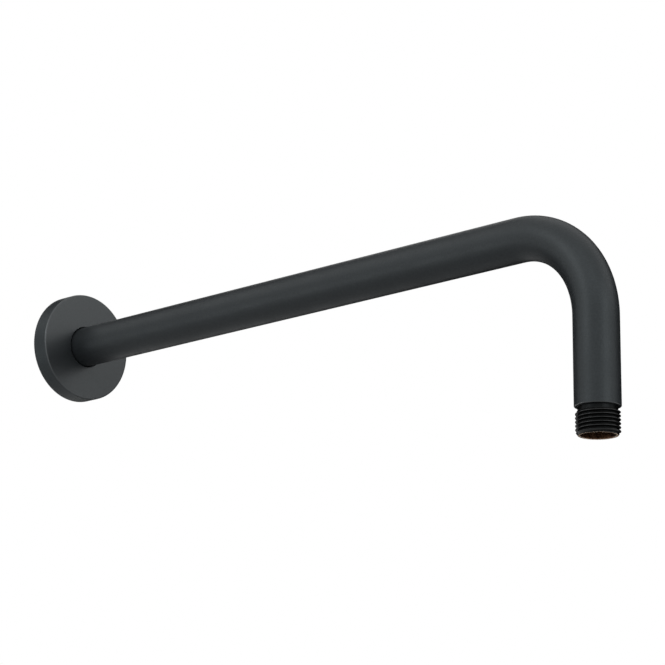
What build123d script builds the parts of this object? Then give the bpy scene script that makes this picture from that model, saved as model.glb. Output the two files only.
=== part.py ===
# Wall-mounted shower arm: a bent round tube with a turned thread nipple brazed into each end,
# and a round cover flange that slides on the tube, gripped by a rubber ring in its bore.
# Millimetres. +X runs out of the wall along the arm, +Z is up, and the outlet points down.
# The origin is on the arm's axis in the plane of the finished wall.
import os
from math import radians, tan

from build123d import *

# Arm tube
TUBE_OD = 22.0
TUBE_WALL = 1.5
ARM_REACH = 375.0  # wall plane to the axis of the outlet
BEND_RADIUS = 45.0  # on the tube's centreline
OUTLET_DROP = 88.0  # arm axis to the lower end of the tube
TUBE_STANDOFF = 3.0  # wall plane to the inlet end of the tube
TUBE_END_CHAMFER = 0.5

# Thread nipples, G 1/2 pipe thread at both ends
THREAD_OD = 20.955
THREAD_PITCH = 1.814
THREAD_DEPTH_PER_PITCH = 0.6403
THREAD_FLANK_ANGLE = 27.5
THREAD_LEAD = 1.6  # length of the taper at the nipple's end
NECK_LENGTH = 2.0  # run-out groove between the tube and the thread
SPIGOT_LENGTH = 12.0
SPIGOT_LEAD = 0.5
BRAZE_GAP = 0.05
NIPPLE_WALL = 1.3  # least wall, under the thread's root or in the spigot
NIPPLE_BORE_CHAMFER = 0.4
INLET_PROJECTION = 18.0  # tube end to the nipple's end, on the wall side
OUTLET_PROJECTION = 13.4  # tube end to the nipple's end, on the head side

# Cover flange
FLANGE_OD = 60.0
FLANGE_THICKNESS = 10.0
FLANGE_FACE = 5.5  # thickness of the front plate, which holds the ring's groove
FLANGE_RIM = 3.0  # wall of the rim that meets the finished wall
FLANGE_BORE_GAP = 0.4  # between the tube and the flange's bore
FLANGE_FRONT_CHAMFER = 0.5
FLANGE_BACK_CHAMFER = 0.3
FLANGE_BORE_CHAMFER = 0.3  # at the front, round the tube
FLANGE_POCKET_CORNER = 0.8  # slope left in the corner behind the front plate

# Rubber grip ring, as it sits squeezed between the tube and its groove
RING_HEIGHT = 2.1
RING_WIDTH = 2.5
RING_CORNER = 0.65
RING_SLIP = 0.05  # running gap on the tube and on the groove's floor
RING_SIDE_GAP = 0.2

# Radii that follow from the sizes above
tube_radius = TUBE_OD / 2
tube_bore_radius = tube_radius - TUBE_WALL
spigot_radius = tube_bore_radius - BRAZE_GAP
thread_radius = THREAD_OD / 2
thread_depth = THREAD_DEPTH_PER_PITCH * THREAD_PITCH
thread_root_radius = thread_radius - thread_depth
nipple_bore_radius = min(spigot_radius, thread_root_radius) - NIPPLE_WALL
flange_radius = FLANGE_OD / 2
flange_bore_radius = tube_radius + FLANGE_BORE_GAP
ring_inner_radius = tube_radius + RING_SLIP
ring_middle_radius = ring_inner_radius + RING_HEIGHT / 2
groove_radius = ring_inner_radius + RING_HEIGHT + RING_SLIP
groove_width = RING_WIDTH + 2 * RING_SIDE_GAP
face_middle = FLANGE_THICKNESS - FLANGE_FACE / 2

# The tube's two ends, each plane looking out of the tube
inlet_end = Plane(origin=(TUBE_STANDOFF, 0, 0), x_dir=(0, 1, 0), z_dir=(-1, 0, 0))
outlet_end = Plane(origin=(ARM_REACH, 0, -OUTLET_DROP), x_dir=(1, 0, 0), z_dir=(0, 0, -1))


def half_section(end):
    """Plane through an end's axis: its x is the radius, its y runs out of the tube."""
    return Plane(origin=end.origin, x_dir=end.x_dir, z_dir=-end.y_dir)


def turned_nipple(end, projection):
    """Nipple turned from bar: spigot inside the tube, run-out neck, thread, tapered end, and a bore."""
    thread_start = NECK_LENGTH + thread_depth * tan(radians(THREAD_FLANK_ANGLE))
    with BuildPart() as nipple:
        with BuildSketch(half_section(end)):
            with BuildLine():
                Polyline(
                    (nipple_bore_radius, -SPIGOT_LENGTH),
                    (spigot_radius - SPIGOT_LEAD, -SPIGOT_LENGTH),
                    (spigot_radius, SPIGOT_LEAD - SPIGOT_LENGTH),
                    (spigot_radius, 0),
                    (thread_root_radius, 0),
                    (thread_root_radius, NECK_LENGTH),
                    (thread_radius, thread_start),
                    (thread_radius, projection - THREAD_LEAD),
                    (thread_root_radius, projection),
                    (nipple_bore_radius + NIPPLE_BORE_CHAMFER, projection),
                    (nipple_bore_radius, projection - NIPPLE_BORE_CHAMFER),
                    close=True,
                )
            make_face()
        revolve(axis=Axis(end.origin, end.z_dir))
    return nipple


os.makedirs("parts", exist_ok=True)

# Arm tube: drawn tube with one bend, its outer end edges broken before the finish goes on
with BuildPart() as arm_tube:
    with BuildLine() as centreline:
        FilletPolyline(
            inlet_end.origin,
            (ARM_REACH, 0, 0),
            outlet_end.origin,
            radius=BEND_RADIUS,
        )
    with BuildSketch(Plane(origin=inlet_end.origin, z_dir=(1, 0, 0))):
        Circle(tube_radius)
        Circle(tube_bore_radius, mode=Mode.SUBTRACT)
    sweep(path=centreline)
    end_faces = arm_tube.faces().filter_by(GeomType.PLANE)
    chamfer([edge for face in end_faces for edge in face.outer_wire().edges()], TUBE_END_CHAMFER)
arm_tube.part.label = "arm_tube"
export_step(arm_tube.part, "parts/arm_tube.step")

# Inlet nipple: screws into the fitting in the wall
inlet_nipple = turned_nipple(inlet_end, INLET_PROJECTION)
inlet_nipple.part.label = "inlet_nipple"
export_step(inlet_nipple.part, "parts/inlet_nipple.step")

# Outlet nipple: takes the swivel nut of the shower head
outlet_nipple = turned_nipple(outlet_end, OUTLET_PROJECTION)
outlet_nipple.part.label = "outlet_nipple"
export_step(outlet_nipple.part, "parts/outlet_nipple.step")

# Cover flange: a turned disc, hollow behind, with the grip ring's groove in its bore
with BuildPart() as wall_flange:
    with BuildSketch(Plane.XZ):
        with BuildLine():
            Polyline(
                (0, flange_radius - FLANGE_RIM),
                (0, flange_radius),
                (FLANGE_THICKNESS, flange_radius),
                (FLANGE_THICKNESS, flange_bore_radius),
                (FLANGE_THICKNESS - FLANGE_FACE, flange_bore_radius),
                (FLANGE_THICKNESS - FLANGE_FACE, flange_radius - FLANGE_RIM),
                close=True,
            )
        make_face()
    revolve(axis=Axis.X)
    along_arm = wall_flange.edges().filter_by(GeomType.CIRCLE).group_by(Axis.X)
    back_edges, pocket_edges, front_edges = (group.sort_by(SortBy.RADIUS) for group in along_arm)
    chamfer(front_edges[-1], FLANGE_FRONT_CHAMFER)
    chamfer([back_edges[-1], pocket_edges[0]], FLANGE_BACK_CHAMFER)
    chamfer(pocket_edges[-1], FLANGE_POCKET_CORNER)
    chamfer(front_edges[0], FLANGE_BORE_CHAMFER)
    with BuildSketch(Plane.XZ):
        with Locations((face_middle, groove_radius / 2)):
            Rectangle(groove_width, groove_radius)
    revolve(axis=Axis.X, mode=Mode.SUBTRACT)
wall_flange.part.label = "wall_flange"
export_step(wall_flange.part, "parts/wall_flange.step")

# Grip ring: rubber ring in the flange's groove, which holds the flange where it is pushed
with BuildPart() as grip_ring:
    with BuildSketch(Plane.XZ) as ring_section:
        with Locations((face_middle, ring_middle_radius)):
            Rectangle(RING_WIDTH, RING_HEIGHT)
        chamfer(ring_section.vertices(), RING_CORNER)
    revolve(axis=Axis.X)
grip_ring.part.label = "grip_ring"
export_step(grip_ring.part, "parts/grip_ring.step")
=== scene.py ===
from math import ceil, cos, pi, radians, sin, tan

import bpy
import numpy as np
from mathutils import Matrix, Vector


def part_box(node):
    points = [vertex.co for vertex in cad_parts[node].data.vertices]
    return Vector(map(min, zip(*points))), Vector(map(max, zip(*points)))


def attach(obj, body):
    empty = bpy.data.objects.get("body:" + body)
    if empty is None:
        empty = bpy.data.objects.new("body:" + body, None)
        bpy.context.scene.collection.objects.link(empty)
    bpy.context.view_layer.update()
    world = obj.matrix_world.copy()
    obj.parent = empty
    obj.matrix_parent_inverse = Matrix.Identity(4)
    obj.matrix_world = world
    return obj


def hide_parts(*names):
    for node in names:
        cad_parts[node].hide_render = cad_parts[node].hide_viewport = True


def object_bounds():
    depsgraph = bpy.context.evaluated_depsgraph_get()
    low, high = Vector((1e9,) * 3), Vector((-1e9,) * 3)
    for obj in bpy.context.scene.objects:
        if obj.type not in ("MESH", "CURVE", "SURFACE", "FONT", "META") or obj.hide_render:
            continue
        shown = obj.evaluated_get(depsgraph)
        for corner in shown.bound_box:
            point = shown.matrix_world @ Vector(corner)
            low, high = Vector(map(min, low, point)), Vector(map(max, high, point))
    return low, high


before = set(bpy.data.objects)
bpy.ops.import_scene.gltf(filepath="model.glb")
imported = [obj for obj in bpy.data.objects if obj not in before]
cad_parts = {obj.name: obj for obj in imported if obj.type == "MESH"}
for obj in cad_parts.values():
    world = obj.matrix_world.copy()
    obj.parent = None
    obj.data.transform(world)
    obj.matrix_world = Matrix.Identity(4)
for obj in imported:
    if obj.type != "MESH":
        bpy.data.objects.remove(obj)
cad_low, cad_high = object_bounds()


# Arm tube: drawn brass tube with one bend, cut square, its end edges broken and its outside coated
# matte black. The coat reaches a little way into both ends. Everything else sits in it or on it.
TUBE_WALL = 0.0015
TUBE_END_ROUND = 0.0005
COATED_INSIDE = 0.004
BEND_RADIUS = 0.045
TUBE_STEP = 0.002
TUBE_COLUMNS = 144
SUPPORT_STEP = 0.00008
SUPPORT_SHARE = 0.25

tube_low, tube_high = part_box("arm_tube")
tube_radius = tube_high.y
tube_bore = tube_radius - TUBE_WALL
arm_reach = tube_high.x - tube_radius
run_length = arm_reach - BEND_RADIUS - tube_low.x
bend_length = BEND_RADIUS * pi / 2
tube_length = run_length + bend_length - tube_low.z - BEND_RADIUS


def rounded_outline(corners, rounds, steps, arc_steps=8):
    """Closed outline in the plane of distance along an axis and radius from it.

    A corner whose edges meet at an angle w is rounded by an arc that leaves each edge at
    round / tan(w / 2) from the corner, with its centre round / sin(w / 2) away on the line that
    halves w. The points of an arc are the weighted sums of its two end spokes, with weights
    sin((1 - t) s) / sin(s) and sin(t s) / sin(s) for a sweep s. Each straight stretch is divided
    evenly, with one more point close to each of its ends.
    """
    corners = np.array(corners, float)
    rounds = np.array(rounds, float)
    back = np.roll(corners, 1, axis=0) - corners
    ahead = np.roll(corners, -1, axis=0) - corners
    back /= np.linalg.norm(back, axis=1, keepdims=True)
    ahead /= np.linalg.norm(ahead, axis=1, keepdims=True)
    angle = np.arccos(np.clip((back * ahead).sum(axis=1), -1, 1))
    halfway = (back + ahead) / np.linalg.norm(back + ahead, axis=1, keepdims=True)
    centres = corners + halfway * (rounds / np.sin(angle / 2))[:, None]
    arc_starts = corners + back * (rounds / np.tan(angle / 2))[:, None]
    arc_ends = corners + ahead * (rounds / np.tan(angle / 2))[:, None]
    share = np.linspace(0, 1, arc_steps + 1)[:, None]
    outline = []
    for i, step in enumerate(steps):
        sweep = pi - angle[i]
        spokes = np.sin((1 - share) * sweep) * (arc_starts[i] - centres[i])
        spokes = spokes + np.sin(share * sweep) * (arc_ends[i] - centres[i])
        outline.append(centres[i] + spokes / sin(sweep) if rounds[i] else corners[i : i + 1])
        stretch = arc_starts[(i + 1) % len(corners)] - arc_ends[i]
        length = np.linalg.norm(stretch)
        near = min(SUPPORT_SHARE, SUPPORT_STEP / length)
        evenly = np.linspace(0, 1, max(1, ceil(length / step)) + 1)[1:-1]
        places = np.unique(np.concatenate([[near], evenly, [1 - near]]))
        outline.append(arc_ends[i] + stretch * places[:, None])
    return np.concatenate(outline)


def arm_path(along):
    """Centre line of the arm at distances from its inlet end, and the direction out of the bend there.

    The line runs straight out of the wall, turns down through a quarter circle and drops straight.
    """
    turn = np.clip((along - run_length) / BEND_RADIUS, 0, pi / 2)
    run = np.minimum(along, run_length)
    drop = np.maximum(along - run_length - bend_length, 0)
    level = np.zeros_like(along)
    x = tube_low.x + run + BEND_RADIUS * np.sin(turn)
    z = BEND_RADIUS * (np.cos(turn) - 1) - drop
    centre = np.stack([x, level, z], axis=-1)
    outward = np.stack([np.sin(turn), level, np.cos(turn)], axis=-1)
    return centre, outward


def swept_tube(outline, columns):
    """Carries the outline's circles along the arm.

    A point is centre + radius (cos a outward - sin a Y), for a full turn of a.
    """
    centre, outward = arm_path(outline[:, 0])
    angle = np.linspace(0, 2 * pi, columns, endpoint=False)[:, None]
    spokes = np.cos(angle) * outward[:, None] - np.sin(angle) * np.array([0.0, 1.0, 0.0])
    return centre[:, None] + outline[:, 1, None, None] * spokes


def closed_skin(name, points, values=None):
    """Smooth mesh over a grid of points that closes on itself both ways, with one face for each cell.

    values gives attributes of the mesh by name, with one number for each row or each point of the grid.
    """
    rows, columns = points.shape[:2]
    here = np.arange(rows * columns).reshape(rows, columns)
    next_row = np.roll(here, -1, axis=0)
    cells = np.stack([here, np.roll(here, -1, axis=1), np.roll(next_row, -1, axis=1), next_row], axis=-1)
    mesh = bpy.data.meshes.new(name)
    mesh.from_pydata(points.reshape(-1, 3), [], cells.reshape(-1, 4))
    mesh.shade_smooth()
    for label, numbers in (values or {}).items():
        spread = np.broadcast_to(numbers.reshape(rows, -1), (rows, columns))
        attribute = mesh.attributes.new(label, "FLOAT", "POINT")
        attribute.data.foreach_set("value", spread.astype(np.float32).ravel())
    piece = bpy.data.objects.new(name, mesh)
    bpy.context.scene.collection.objects.link(piece)
    return piece


def node_group(name, inputs, outputs):
    """New shader node group with the named sockets. Returns it with its input and output nodes."""
    group = bpy.data.node_groups.new(name, "ShaderNodeTree")
    for label, kind, value in inputs:
        group.interface.new_socket(label, in_out="INPUT", socket_type=kind).default_value = value
    for label, kind in outputs:
        group.interface.new_socket(label, in_out="OUTPUT", socket_type=kind)
    return group, group.nodes.new("NodeGroupInput"), group.nodes.new("NodeGroupOutput")


def new_node(tree, kind, settings=None, values=None):
    """Adds a node, sets its own settings by name and the defaults of its inputs by name or number."""
    node = tree.nodes.new(kind)
    for label, value in (settings or {}).items():
        setattr(node, label, value)
    for label, value in (values or {}).items():
        node.inputs[label].default_value = value
    return node


def noise_band(tree, place, scale, detail, low, high):
    """Noise on Object coordinates, stretched so that its usual range covers low to high."""
    noise = new_node(tree, "ShaderNodeTexNoise", values={"Detail": detail, "Roughness": NOISE_ROUGHNESS})
    tree.links.new(place, noise.inputs["Vector"])
    if isinstance(scale, float):
        noise.inputs["Scale"].default_value = scale
    else:
        tree.links.new(scale, noise.inputs["Scale"])
    span = {"From Min": NOISE_LOW, "From Max": NOISE_HIGH, "To Min": low, "To Max": high}
    band = new_node(tree, "ShaderNodeMapRange", values=span)
    tree.links.new(noise.outputs["Fac"], band.inputs["Value"])
    return band.outputs["Result"]


def black_coat_group():
    """Matte black coat: cloudy tone, fine specks, uneven sheen and the faint orange peel of the film.

    It is smoother where the mesh attribute satin says so.
    """
    group, given, made = node_group(
        "black_coat",
        [
            ("Tone", "NodeSocketColor", COAT_TONE),
            ("Sheen Roughness", "NodeSocketFloat", COAT_ROUGHNESS),
            ("Grain Scale", "NodeSocketFloat", COAT_GRAIN_SCALE),
        ],
        [("Color", "NodeSocketColor"), ("Roughness", "NodeSocketFloat"), ("Height", "NodeSocketFloat")],
    )
    links = group.links
    place = new_node(group, "ShaderNodeTexCoord").outputs["Object"]
    cloud = noise_band(group, place, *COAT_CLOUD)
    specks = noise_band(group, place, *COAT_SPECKS)
    tone = new_node(group, "ShaderNodeMath", {"operation": "MULTIPLY"})
    links.new(cloud, tone.inputs[0])
    links.new(specks, tone.inputs[1])
    color = new_node(group, "ShaderNodeVectorMath", {"operation": "SCALE"})
    links.new(given.outputs["Tone"], color.inputs["Vector"])
    links.new(tone.outputs["Value"], color.inputs["Scale"])
    links.new(color.outputs["Vector"], made.inputs["Color"])
    satin = new_node(group, "ShaderNodeAttribute", {"attribute_name": "satin"}).outputs["Fac"]
    flow = new_node(group, "ShaderNodeMath", {"operation": "MULTIPLY_ADD"})
    flow.inputs[1].default_value = -SATIN_FLOW
    links.new(satin, flow.inputs[0])
    links.new(given.outputs["Sheen Roughness"], flow.inputs[2])
    sheen = new_node(group, "ShaderNodeMath", {"operation": "ADD"})
    links.new(flow.outputs["Value"], sheen.inputs[0])
    links.new(noise_band(group, place, *SHEEN_DRIFT), sheen.inputs[1])
    links.new(sheen.outputs["Value"], made.inputs["Roughness"])
    grain = noise_band(group, place, given.outputs["Grain Scale"], *COAT_GRAIN)
    links.new(grain, made.inputs["Height"])
    return group


def bare_brass_group():
    """Uncoated brass: dull brown with darker tarnish in patches, and clean where the attribute cut is 1."""
    group, _, made = node_group(
        "bare_brass",
        [],
        [("Color", "NodeSocketColor"), ("Roughness", "NodeSocketFloat")],
    )
    links = group.links
    place = new_node(group, "ShaderNodeTexCoord").outputs["Object"]
    tarnish = noise_band(group, place, *BRASS_TARNISH)
    color = new_node(group, "ShaderNodeMix", {"data_type": "RGBA"})
    color.inputs["A"].default_value = BRASS_TONE
    color.inputs["B"].default_value = TARNISH_TONE
    links.new(tarnish, color.inputs["Factor"])
    cut = new_node(group, "ShaderNodeAttribute", {"attribute_name": "cut"}).outputs["Fac"]
    clean = new_node(group, "ShaderNodeMix", {"data_type": "RGBA"})
    clean.inputs["B"].default_value = CUT_TONE
    links.new(cut, clean.inputs["Factor"])
    links.new(color.outputs["Result"], clean.inputs["A"])
    links.new(clean.outputs["Result"], made.inputs["Color"])
    links.new(noise_band(group, place, *BRASS_SHEEN), made.inputs["Roughness"])
    return group


def coated_metal(name, tone, roughness, specular, tint, satin_roughness):
    """Material of a coated brass piece: dull black, with a satin skin where the coat came out smoother.

    The mesh attribute bare says where brass shows instead of the coat, and satin how much of that
    skin there is.
    """
    material = bpy.data.materials.new(name)
    material.use_nodes = True
    tree = material.node_tree
    links = tree.links
    surface = tree.nodes["Principled BSDF"]
    surface.inputs["Specular IOR Level"].default_value = specular
    surface.inputs["Specular Tint"].default_value = tint
    surface.inputs["Coat Roughness"].default_value = satin_roughness
    satin = new_node(tree, "ShaderNodeAttribute", {"attribute_name": "satin"}).outputs["Fac"]
    links.new(satin, surface.inputs["Coat Weight"])
    coat = new_node(tree, "ShaderNodeGroup", {"node_tree": bpy.data.node_groups["black_coat"]})
    coat.inputs["Tone"].default_value = tone
    coat.inputs["Sheen Roughness"].default_value = roughness
    coat.inputs["Grain Scale"].default_value = COAT_GRAIN_SCALE
    brass = new_node(tree, "ShaderNodeGroup", {"node_tree": bpy.data.node_groups["bare_brass"]})
    bare = new_node(tree, "ShaderNodeAttribute", {"attribute_name": "bare"}).outputs["Fac"]
    color = new_node(tree, "ShaderNodeMix", {"data_type": "RGBA"})
    links.new(bare, color.inputs["Factor"])
    links.new(coat.outputs["Color"], color.inputs["A"])
    links.new(brass.outputs["Color"], color.inputs["B"])
    links.new(color.outputs["Result"], surface.inputs["Base Color"])
    sheen = new_node(tree, "ShaderNodeMix", {"data_type": "FLOAT"})
    links.new(bare, sheen.inputs["Factor"])
    links.new(coat.outputs["Roughness"], sheen.inputs["A"])
    links.new(brass.outputs["Roughness"], sheen.inputs["B"])
    links.new(sheen.outputs["Result"], surface.inputs["Roughness"])
    links.new(bare, surface.inputs["Metallic"])
    relief = {"Strength": COAT_GRAIN_STRENGTH, "Distance": COAT_GRAIN_HEIGHT}
    bump = new_node(tree, "ShaderNodeBump", values=relief)
    links.new(coat.outputs["Height"], bump.inputs["Height"])
    links.new(bump.outputs["Normal"], surface.inputs["Normal"])
    return material


COAT_TONE = (0.0088, 0.0102, 0.0115, 1)
COAT_ROUGHNESS = 0.45
COAT_SPECULAR = 0.35
COAT_TINT = (0.86, 0.965, 1.0, 1)
SATIN_ROUGHNESS = 0.32
SATIN_FLOW = 0.1
COAT_GRAIN_SCALE = 1400.0
COAT_GRAIN_HEIGHT = 0.00006
COAT_GRAIN_STRENGTH = 0.5
CUT_TONE = (0.95, 0.76, 0.59, 1)
BRASS_TONE = (0.15, 0.08, 0.045, 1)
TARNISH_TONE = (0.03, 0.014, 0.009, 1)
NOISE_ROUGHNESS = 0.55
NOISE_LOW = 0.3
NOISE_HIGH = 0.7
# Each noise below is its scale, its detail, and the low and high ends of the values that it gives.
COAT_CLOUD = (24.0, 3.0, 0.93, 1.07)
COAT_SPECKS = (1000.0, 2.0, 0.7, 1.3)
SHEEN_DRIFT = (60.0, 2.0, -0.03, 0.03)
BRASS_TARNISH = (420.0, 4.0, 0.0, 1.0)
BRASS_SHEEN = (900.0, 3.0, 0.3, 0.55)
# The grain's scale is an input of the coat, so here it has only the other three.
COAT_GRAIN = (2.0, 0.0, 1.0)
black_coat_group()
bare_brass_group()

tube_outline = rounded_outline(
    [(0, tube_radius), (tube_length, tube_radius), (tube_length, tube_bore), (0, tube_bore)],
    [TUBE_END_ROUND, TUBE_END_ROUND, 0, 0],
    [TUBE_STEP] * 4,
)
from_end = np.minimum(tube_outline[:, 0], tube_length - tube_outline[:, 0])
on_bore = tube_outline[:, 1] < tube_bore + TUBE_WALL / 4
on_edge = (from_end < TUBE_END_ROUND) & (tube_outline[:, 1] > tube_radius - TUBE_END_ROUND)
inside_tube = (on_bore & (from_end > COATED_INSIDE)).astype(float)
at_end = on_edge.astype(float)
arm_tube = closed_skin(
    "bent_tube", swept_tube(tube_outline, TUBE_COLUMNS), {"bare": inside_tube, "satin": at_end}
)
arm_tube.data.materials.append(
    coated_metal("arm_coat", COAT_TONE, COAT_ROUGHNESS, COAT_SPECULAR, COAT_TINT, SATIN_ROUGHNESS)
)
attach(arm_tube, "arm")
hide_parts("arm_tube")


# Thread nipples: turned brass, brazed into both ends of the tube, each with a run-out groove, a
# right-hand G 1/2 pipe thread and a tapered lead. Coated with the arm, with a slight shine on the
# thread's crests and lead, while the bore and the cut end face are left as bare brass.
THREAD_PITCH = 0.001814
CREST_ROUND_PER_PITCH = 0.137329
DEPTH_PER_PITCH = 0.640327
THREAD_CREST_ROUND = CREST_ROUND_PER_PITCH * THREAD_PITCH
THREAD_FLANK = radians(27.5)
THREAD_DEPTH = DEPTH_PER_PITCH * THREAD_PITCH
THREAD_LEAD = 0.0016
THREAD_STEP = 0.00007
THREAD_COLUMNS = 216
NECK_LENGTH = 0.002
SPIGOT_LENGTH = 0.012
SPIGOT_LEAD = 0.0005
BRAZE_GAP = 0.00005
NIPPLE_WALL = 0.0013
BORE_CHAMFER = 0.0004
BORE_STEP = 0.001
LEAD_END_ROUND = 0.0001
FACE_INNER_ROUND = 0.00012
BORE_MOUTH_ROUND = 0.0002
NIPPLE_ARC_STEPS = 5
BARE_EDGE = 0.00015
FACE_MARGIN = 0.00005
THREAD_TONE = (0.002, 0.002, 0.002, 1)
THREAD_ROUGHNESS = 0.3
THREAD_SPECULAR = 0.1
CREST_ROUGHNESS = 0.2
CREST_BAND = 0.0002
CREST_SATIN = 0.6
INLET_THREAD_START = 0.0
OUTLET_THREAD_START = 0.00095

nipple_low, nipple_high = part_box("inlet_nipple")
thread_radius = nipple_high.y
thread_root = thread_radius - THREAD_DEPTH
spigot_radius = tube_bore - BRAZE_GAP
nipple_bore = min(spigot_radius, thread_root) - NIPPLE_WALL


def thread_form(offset):
    """Radius of the thread at a distance along the axis from the middle of a crest.

    Crests and roots are arcs of the same round and the flanks between them are straight, at the flank
    angle to the radius: an arc ends at round cos(flank) from its middle, and round (1 - sin(flank))
    below a crest's top or above a root's floor.
    """
    away = np.abs((offset / THREAD_PITCH + 0.5) % 1.0 - 0.5) * THREAD_PITCH
    from_root = THREAD_PITCH / 2 - away
    arc_end = THREAD_CREST_ROUND * cos(THREAD_FLANK)
    arc_drop = THREAD_CREST_ROUND * (1 - sin(THREAD_FLANK))
    round_squared = THREAD_CREST_ROUND**2
    crest = thread_radius - THREAD_CREST_ROUND + np.sqrt(np.maximum(round_squared - away**2, 0))
    root = thread_root + THREAD_CREST_ROUND - np.sqrt(np.maximum(round_squared - from_root**2, 0))
    flank = thread_radius - arc_drop - (away - arc_end) / tan(THREAD_FLANK)
    return np.where(away < arc_end, crest, np.where(from_root < arc_end, root, flank))


def turned_surface(outline, origin, axis, across, columns, radius=None):
    """Turns an outline about an axis.

    A point is origin + along axis + radius (cos a across + sin a (axis x across)), for a full turn of a.
    The radius is the outline's own, or a grid with one value for each row and column.
    """
    axis, across = np.array(axis, float), np.array(across, float)
    angle = np.linspace(0, 2 * pi, columns, endpoint=False)[:, None]
    spokes = np.cos(angle) * across + np.sin(angle) * np.cross(axis, across)
    if radius is None:
        radius = outline[:, 1, None]
    return np.array(origin, float) + outline[:, 0, None, None] * axis + radius[:, :, None] * spokes


def threaded_nipple(name, origin, axis, across, projection, thread_start):
    """Nipple as a turned outline, cut by the thread between its neck and its end.

    The thread's crest line is the right-hand helix whose distance along the axis grows by one pitch
    each turn. The surface is the lower of the turned outline and the thread form, so the lead and
    the neck cut the crests.
    """
    thread_top = NECK_LENGTH + THREAD_DEPTH * tan(THREAD_FLANK)
    outline = rounded_outline(
        [
            (-SPIGOT_LENGTH, spigot_radius - SPIGOT_LEAD),
            (SPIGOT_LEAD - SPIGOT_LENGTH, spigot_radius),
            (0, spigot_radius),
            (0, thread_root),
            (NECK_LENGTH, thread_root),
            (thread_top, thread_radius),
            (projection - THREAD_LEAD, thread_radius),
            (projection, thread_root),
            (projection, nipple_bore + BORE_CHAMFER),
            (projection - BORE_CHAMFER, nipple_bore),
            (-SPIGOT_LENGTH, nipple_bore),
        ],
        [0] * 7 + [LEAD_END_ROUND, FACE_INNER_ROUND, BORE_MOUTH_ROUND, 0],
        [BORE_STEP] * 4 + [THREAD_STEP] * 3 + [BORE_STEP] * 4,
        NIPPLE_ARC_STEPS,
    )
    along = outline[:, 0, None]
    turned = outline[:, 1, None]
    turn = np.linspace(0, 1, THREAD_COLUMNS, endpoint=False)
    cut = np.minimum(turned, thread_form(along - thread_start - THREAD_PITCH * turn))
    radius = np.where(along > NECK_LENGTH, cut, turned + 0 * turn)
    inside = np.clip((nipple_bore + BORE_CHAMFER + BARE_EDGE - outline[:, 1]) / BARE_EDGE, 0, 1)
    cut_end = (outline[:, 0] > projection - FACE_MARGIN) & (outline[:, 1] < thread_root - FACE_MARGIN)
    bare = np.maximum(inside, cut_end)
    crest = np.clip((radius - turned + CREST_BAND) / CREST_BAND, 0, 1)
    crest = CREST_SATIN * crest * ((along > NECK_LENGTH) & (turned > thread_root))
    points = turned_surface(outline, origin, axis, across, THREAD_COLUMNS, radius)
    return closed_skin(name, points, {"bare": bare, "cut": cut_end, "satin": crest})


thread_coat = coated_metal(
    "thread_coat", THREAD_TONE, THREAD_ROUGHNESS, THREAD_SPECULAR, COAT_TINT, CREST_ROUGHNESS
)
inlet_projection = tube_low.x - nipple_low.x
outlet_projection = tube_low.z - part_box("outlet_nipple")[0].z
inlet_place = (tube_low.x, 0, 0)
outlet_place = (arm_reach, 0, tube_low.z)
inlet_nipple = threaded_nipple(
    "inlet_thread", inlet_place, (-1, 0, 0), (0, 0, 1), inlet_projection, INLET_THREAD_START
)
outlet_nipple = threaded_nipple(
    "outlet_thread", outlet_place, (0, 0, -1), (1, 0, 0), outlet_projection, OUTLET_THREAD_START
)
for nipple, node in ((inlet_nipple, "inlet_nipple"), (outlet_nipple, "outlet_nipple")):
    nipple.data.materials.append(thread_coat)
    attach(nipple, "arm")
    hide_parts(node)


# Grip ring: a moulded rubber ring, squeezed between the tube and a groove in the flange's bore. It
# holds the flange where it is pushed.
RING_SLIP = 0.00002
RING_ROUND = 0.00095
RING_STEP = 0.0003
RING_COLUMNS = 144
RUBBER_TONE = (0.02, 0.02, 0.021)
RUBBER_BLOOM = (300.0, 3.0, 0.8, 1.4)
RUBBER_SHEEN = (700.0, 2.0, 0.7, 0.85)
RUBBER_GRAIN = (2600.0, 2.0, 0.0, 1.0)
RUBBER_GRAIN_HEIGHT = 0.00004
RUBBER_GRAIN_STRENGTH = 0.4


def moulded_rubber(name):
    """Dull black rubber with a faint bloom in patches and a fine moulded grain."""
    material = bpy.data.materials.new(name)
    material.use_nodes = True
    tree = material.node_tree
    links = tree.links
    surface = tree.nodes["Principled BSDF"]
    place = new_node(tree, "ShaderNodeTexCoord").outputs["Object"]
    color = new_node(tree, "ShaderNodeVectorMath", {"operation": "SCALE"})
    color.inputs["Vector"].default_value = RUBBER_TONE
    links.new(noise_band(tree, place, *RUBBER_BLOOM), color.inputs["Scale"])
    links.new(color.outputs["Vector"], surface.inputs["Base Color"])
    links.new(noise_band(tree, place, *RUBBER_SHEEN), surface.inputs["Roughness"])
    relief = {"Strength": RUBBER_GRAIN_STRENGTH, "Distance": RUBBER_GRAIN_HEIGHT}
    bump = new_node(tree, "ShaderNodeBump", values=relief)
    links.new(noise_band(tree, place, *RUBBER_GRAIN), bump.inputs["Height"])
    links.new(bump.outputs["Normal"], surface.inputs["Normal"])
    return material


ring_low, ring_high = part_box("grip_ring")
ring_inner = tube_radius + RING_SLIP
ring_outline = rounded_outline(
    [
        (ring_low.x, ring_high.z),
        (ring_high.x, ring_high.z),
        (ring_high.x, ring_inner),
        (ring_low.x, ring_inner),
    ],
    [RING_ROUND] * 4,
    [RING_STEP] * 4,
)
grip_ring = closed_skin(
    "rubber_ring", turned_surface(ring_outline, (0, 0, 0), (1, 0, 0), (0, 0, 1), RING_COLUMNS)
)
grip_ring.data.materials.append(moulded_rubber("ring_rubber"))
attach(grip_ring, "ring")
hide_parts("grip_ring")


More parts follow.
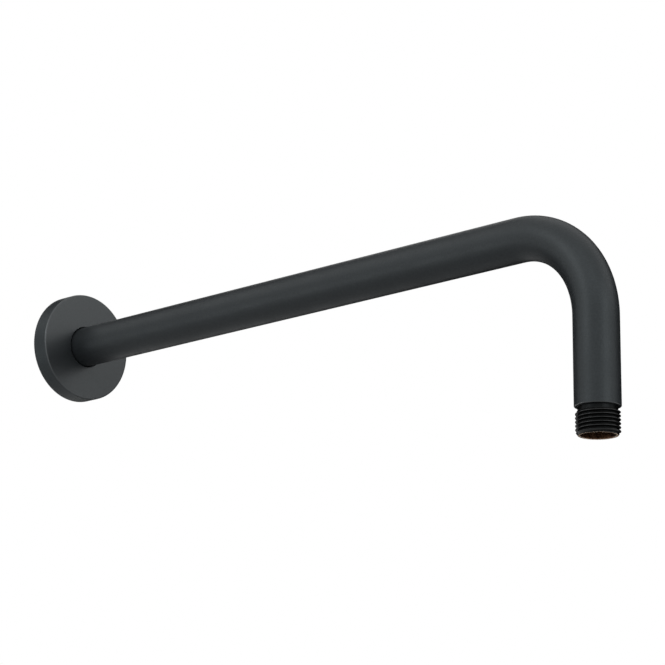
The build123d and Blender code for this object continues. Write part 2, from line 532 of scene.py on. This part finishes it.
# Cover flange: a brass disc turned from bar, hollow behind so that it closes on the wall with its
# rim alone. It slides on the tube and hides the hole in the wall. It is coated like the arm, and
# the coat came out smoother on its flat front face.
FLANGE_FACE = 0.0055
FLANGE_RIM = 0.003
FLANGE_BORE_GAP = 0.0004
FLANGE_FRONT_ROUND = 0.0006
FLANGE_BACK_ROUND = 0.0003
FLANGE_BORE_CHAMFER = 0.0003
FLANGE_BORE_ROUND = 0.0001
FLANGE_POCKET_ROUND = 0.0012
GROOVE_SIDE_GAP = 0.0002
FLANGE_STEP = 0.0015
FLANGE_COLUMNS = 256
FLANGE_TINT = (0.79, 0.945, 1.0, 1)
FACE_SATIN = 0.9
FACE_EDGE_SHARE = 0.75
FACE_BORE_SHARE = 0.9

flange_low, flange_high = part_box("wall_flange")
flange_radius = flange_high.z
flange_bore = tube_radius + FLANGE_BORE_GAP
front_x = flange_high.x
pocket_x = front_x - FLANGE_FACE
groove_radius = ring_high.z + RING_SLIP
groove_back = ring_low.x - GROOVE_SIDE_GAP
groove_front = ring_high.x + GROOVE_SIDE_GAP
flange_outline = rounded_outline(
    [
        (flange_low.x, flange_radius),
        (front_x, flange_radius),
        (front_x, flange_bore + FLANGE_BORE_CHAMFER),
        (front_x - FLANGE_BORE_CHAMFER, flange_bore),
        (groove_front, flange_bore),
        (groove_front, groove_radius),
        (groove_back, groove_radius),
        (groove_back, flange_bore),
        (pocket_x + FLANGE_BACK_ROUND, flange_bore),
        (pocket_x, flange_bore + FLANGE_BACK_ROUND),
        (pocket_x, flange_radius - FLANGE_RIM),
        (flange_low.x, flange_radius - FLANGE_RIM),
    ],
    [FLANGE_BACK_ROUND, FLANGE_FRONT_ROUND, FLANGE_BORE_ROUND, FLANGE_BORE_ROUND]
    + [0] * 6
    + [FLANGE_POCKET_ROUND, 0],
    [FLANGE_STEP] * 12,
)
on_face = flange_outline[:, 0] > front_x - FACE_EDGE_SHARE * FLANGE_FRONT_ROUND
on_face &= flange_outline[:, 1] > flange_bore + FACE_BORE_SHARE * FLANGE_BORE_CHAMFER
wall_flange = closed_skin(
    "cover_flange",
    turned_surface(flange_outline, (0, 0, 0), (1, 0, 0), (0, 0, 1), FLANGE_COLUMNS),
    {"satin": FACE_SATIN * on_face},
)
wall_flange.data.materials.append(
    coated_metal("flange_coat", COAT_TONE, COAT_ROUGHNESS, COAT_SPECULAR, FLANGE_TINT, SATIN_ROUGHNESS)
)
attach(wall_flange, "flange")
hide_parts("wall_flange")


# Studio: a pale floor well below the arm, soft lamps round it and a white surround. From below the
# floor is clear, so that it never hides the arm, and far away it fades into the surround. Black cards
# behind the arm and on the floor, seen only in reflections, give the tube its dark edges.
FLOOR_LEVEL = -0.6
FLOOR_SIZE = 6.0
FLOOR_CELLS = 12
FLOOR_TONE = (0.55, 0.55, 0.55)
FLOOR_CLOUD = (3.0, 3.0, 0.98, 1.02)
FLOOR_ROUGHNESS = 0.9
FLOOR_SPECULAR = 0.1
FADE_START = 0.5
FADE_END = 2.6
AMBIENT = 0.7


def floor_grid(level, size, cells):
    """Flat square of points about the arm's middle: x and y run evenly over the square at one level."""
    steps = np.linspace(-size / 2, size / 2, cells + 1)
    x, y = np.meshgrid(steps + arm_reach / 2, steps)
    return np.stack([x, y, np.full_like(x, level)], axis=-1)


def seen_plainly(tree):
    """Value that is 1 for rays from the camera, straight, by reflection or through glass, and else 0."""
    ray = new_node(tree, "ShaderNodeLightPath")
    seen = new_node(tree, "ShaderNodeMath", {"operation": "MAXIMUM"})
    seen_through = new_node(tree, "ShaderNodeMath", {"operation": "MAXIMUM"})
    tree.links.new(ray.outputs["Is Camera Ray"], seen.inputs[0])
    tree.links.new(ray.outputs["Is Glossy Ray"], seen.inputs[1])
    tree.links.new(seen.outputs["Value"], seen_through.inputs[0])
    tree.links.new(ray.outputs["Is Transmission Ray"], seen_through.inputs[1])
    return seen_through.outputs["Value"]


def floor_material():
    """Pale matt floor with a slight cloudiness, clear on its underside and fading out with the distance."""
    material = bpy.data.materials.new("pale_floor")
    material.use_nodes = True
    tree = material.node_tree
    links = tree.links
    surface = tree.nodes["Principled BSDF"]
    surface.inputs["Roughness"].default_value = FLOOR_ROUGHNESS
    surface.inputs["Specular IOR Level"].default_value = FLOOR_SPECULAR
    place = new_node(tree, "ShaderNodeTexCoord").outputs["Object"]
    color = new_node(tree, "ShaderNodeVectorMath", {"operation": "SCALE"})
    color.inputs["Vector"].default_value = FLOOR_TONE
    links.new(noise_band(tree, place, *FLOOR_CLOUD), color.inputs["Scale"])
    links.new(color.outputs["Vector"], surface.inputs["Base Color"])
    away = new_node(tree, "ShaderNodeVectorMath", {"operation": "DISTANCE"})
    away.inputs[1].default_value = (arm_reach / 2, 0, FLOOR_LEVEL)
    links.new(place, away.inputs[0])
    fade = new_node(tree, "ShaderNodeMapRange", {"interpolation_type": "SMOOTHSTEP"})
    fade.inputs["From Min"].default_value = FADE_START
    fade.inputs["From Max"].default_value = FADE_END
    links.new(away.outputs["Value"], fade.inputs["Value"])
    faded = new_node(tree, "ShaderNodeMath", {"operation": "MULTIPLY"})
    links.new(fade.outputs["Result"], faded.inputs[0])
    links.new(seen_plainly(tree), faded.inputs[1])
    clear = new_node(tree, "ShaderNodeMath", {"operation": "MAXIMUM"})
    links.new(faded.outputs["Value"], clear.inputs[0])
    links.new(new_node(tree, "ShaderNodeNewGeometry").outputs["Backfacing"], clear.inputs[1])
    sided = new_node(tree, "ShaderNodeMixShader")
    links.new(clear.outputs["Value"], sided.inputs["Fac"])
    links.new(surface.outputs["BSDF"], sided.inputs[1])
    links.new(new_node(tree, "ShaderNodeBsdfTransparent").outputs["BSDF"], sided.inputs[2])
    links.new(sided.outputs["Shader"], tree.nodes["Material Output"].inputs["Surface"])
    return material


floor_points = floor_grid(FLOOR_LEVEL, FLOOR_SIZE, FLOOR_CELLS)
corner = np.arange((FLOOR_CELLS + 1) ** 2).reshape(FLOOR_CELLS + 1, FLOOR_CELLS + 1)
floor_cells = np.stack([corner[:-1, :-1], corner[:-1, 1:], corner[1:, 1:], corner[1:, :-1]], axis=-1)
floor_mesh = bpy.data.meshes.new("studio_floor")
floor_mesh.from_pydata(floor_points.reshape(-1, 3), [], floor_cells.reshape(-1, 4))
studio_floor = bpy.data.objects.new("studio_floor", floor_mesh)
bpy.context.scene.collection.objects.link(studio_floor)
studio_floor.data.materials.append(floor_material())


CAMERA_YAW = radians(134.507)
CARD_TONE = (0.004, 0.004, 0.004, 1)
LOW_CARD_LEVEL = FLOOR_LEVEL + 0.002
# Each corner of a card is its distance behind the arm's origin, to the right of it, and its level.
CARDS = {
    "left_card": (
        (2.0, -0.4, FLOOR_LEVEL),
        (0.42, -2.0, FLOOR_LEVEL),
        (0.42, -2.0, 0.75),
        (2.0, -0.4, 4.5),
    ),
    "right_card": (
        (0.9, 0.2, FLOOR_LEVEL),
        (-0.1, 3.05, FLOOR_LEVEL),
        (-0.1, 3.05, 1.0),
        (0.9, 0.2, 1.2),
    ),
    "back_card": (
        (2.0, -0.45, -0.55),
        (0.9, 0.25, -0.35),
        (0.9, 0.25, 0.3),
        (2.0, -0.45, 0.3),
    ),
    "low_card": (
        (0.1, 0.55, LOW_CARD_LEVEL),
        (0.1, 0.12, LOW_CARD_LEVEL),
        (0.9, 0.2, LOW_CARD_LEVEL),
        (0.9, 0.7, LOW_CARD_LEVEL),
    ),
}


def black_card(name, corners):
    """Flat black card between four corners, placed along and across the way the camera looks."""
    behind = Vector((cos(CAMERA_YAW), sin(CAMERA_YAW), 0))
    right = Vector((sin(CAMERA_YAW), -cos(CAMERA_YAW), 0))
    places = [behind * far + right * aside + Vector((0, 0, level)) for far, aside, level in corners]
    mesh = bpy.data.meshes.new(name)
    mesh.from_pydata(places, [], [(0, 1, 2, 3)])
    card = bpy.data.objects.new(name, mesh)
    card.visible_camera = False
    card.visible_diffuse = False
    card.visible_shadow = False
    bpy.context.scene.collection.objects.link(card)
    material = bpy.data.materials.new(name)
    material.use_nodes = True
    surface = material.node_tree.nodes["Principled BSDF"]
    surface.inputs["Base Color"].default_value = CARD_TONE
    surface.inputs["Specular IOR Level"].default_value = 0.0
    card.data.materials.append(material)


for card_name, card_corners in CARDS.items():
    black_card(card_name, card_corners)


def softbox(name, azimuth, elevation, distance, size, power):
    """Square lamp that faces the arm's middle from an azimuth, from +X towards +Y, and an elevation."""
    lamp = bpy.data.lights.new(name, "AREA")
    lamp.shape = "SQUARE"
    lamp.size = size
    lamp.energy = power
    turn, rise = radians(azimuth), radians(elevation)
    towards = Vector((cos(rise) * cos(turn), cos(rise) * sin(turn), sin(rise)))
    holder = bpy.data.objects.new(name, lamp)
    holder.location = (cad_low + cad_high) / 2 + towards * distance
    holder.rotation_euler = towards.to_track_quat("Z", "Y").to_euler()
    bpy.context.scene.collection.objects.link(holder)


# Each lamp's azimuth and elevation in degrees, distance and side in metres, and power in watts.
LAMPS = {
    "right_softbox": (-4, 14, 1.4, 0.7, 3.3),
    "back_softbox": (38, 30, 1.4, 0.7, 1.1),
    "left_softbox": (-94, 27, 1.4, 0.7, 4.9),
    "far_left_softbox": (-152, 35, 1.4, 0.7, 0.8),
    "low_softbox": (-128, -10, 1.3, 0.3, 1.0),
    "front_softbox": (-45, 38, 1.4, 0.7, 2.3),
}
for lamp_name, lamp_settings in LAMPS.items():
    softbox(lamp_name, *lamp_settings)

world = bpy.data.worlds.new("studio_surround")
world.use_nodes = True
bpy.context.scene.world = world
surround = world.node_tree
background = surround.nodes["Background"]
level = new_node(surround, "ShaderNodeMix", {"data_type": "RGBA"})
level.inputs["A"].default_value = (AMBIENT, AMBIENT, AMBIENT, 1)
level.inputs["B"].default_value = (1, 1, 1, 1)
surround.links.new(seen_plainly(surround), level.inputs["Factor"])
surround.links.new(level.outputs["Result"], background.inputs["Color"])
background.inputs["Strength"].default_value = 1.0
bpy.context.scene.view_settings.view_transform = "Standard"


# Camera: below and in front of the arm on its outlet side, looking up at it, with a long lens.
PHOTO_SIDE = 665
SENSOR_WIDTH = 36.0
FOCAL_PIXELS = 2478.4
CAMERA_PLACE = (1.0638, -0.8739, -0.3292)
CAMERA_PITCH = radians(13.972)
CAMERA_ROLL = radians(0.458)

forward = Vector(
    (cos(CAMERA_PITCH) * cos(CAMERA_YAW), cos(CAMERA_PITCH) * sin(CAMERA_YAW), sin(CAMERA_PITCH))
)
level_right = Vector((sin(CAMERA_YAW), -cos(CAMERA_YAW), 0))
level_up = level_right.cross(forward)
camera_right = cos(CAMERA_ROLL) * level_right + sin(CAMERA_ROLL) * level_up
camera_up = cos(CAMERA_ROLL) * level_up - sin(CAMERA_ROLL) * level_right
camera_data = bpy.data.cameras.new("photo_camera")
camera_data.sensor_width = SENSOR_WIDTH
camera_data.lens = SENSOR_WIDTH * FOCAL_PIXELS / PHOTO_SIDE
camera = bpy.data.objects.new("photo_camera", camera_data)
turned = Matrix((camera_right, camera_up, -forward)).transposed().to_4x4()
camera.matrix_world = Matrix.Translation(CAMERA_PLACE) @ turned
bpy.context.scene.collection.objects.link(camera)
bpy.context.scene.camera = camera
